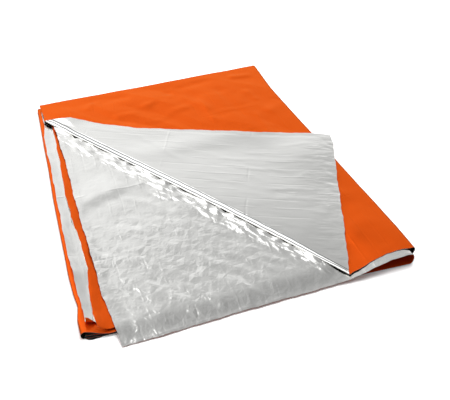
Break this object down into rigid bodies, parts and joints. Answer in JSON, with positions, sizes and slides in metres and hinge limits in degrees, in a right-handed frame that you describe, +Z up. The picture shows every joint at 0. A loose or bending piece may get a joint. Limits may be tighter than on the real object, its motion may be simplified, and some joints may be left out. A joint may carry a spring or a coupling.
{
  "type": "emergency foil blanket",
  "caption": "Large two-sided film blanket, orange outside and silver inside, lying folded in a flat stack with its top front corner turned back along a diagonal.",
  "frame": {"origin": "on the ground under the middle of the folded outline's bounding box", "axes": "+Z up, +Y towards the back fold, +X towards the right bend; the loose front edges face -Y"},
  "size_m": [0.6037, 0.7176, 0.0334],
  "materials": {
    "film": "orange film outside, silver metallised film inside"
  },
  "bodies": {
    "root": {"foil_blanket": "film"}
  },
  "joints": []
}
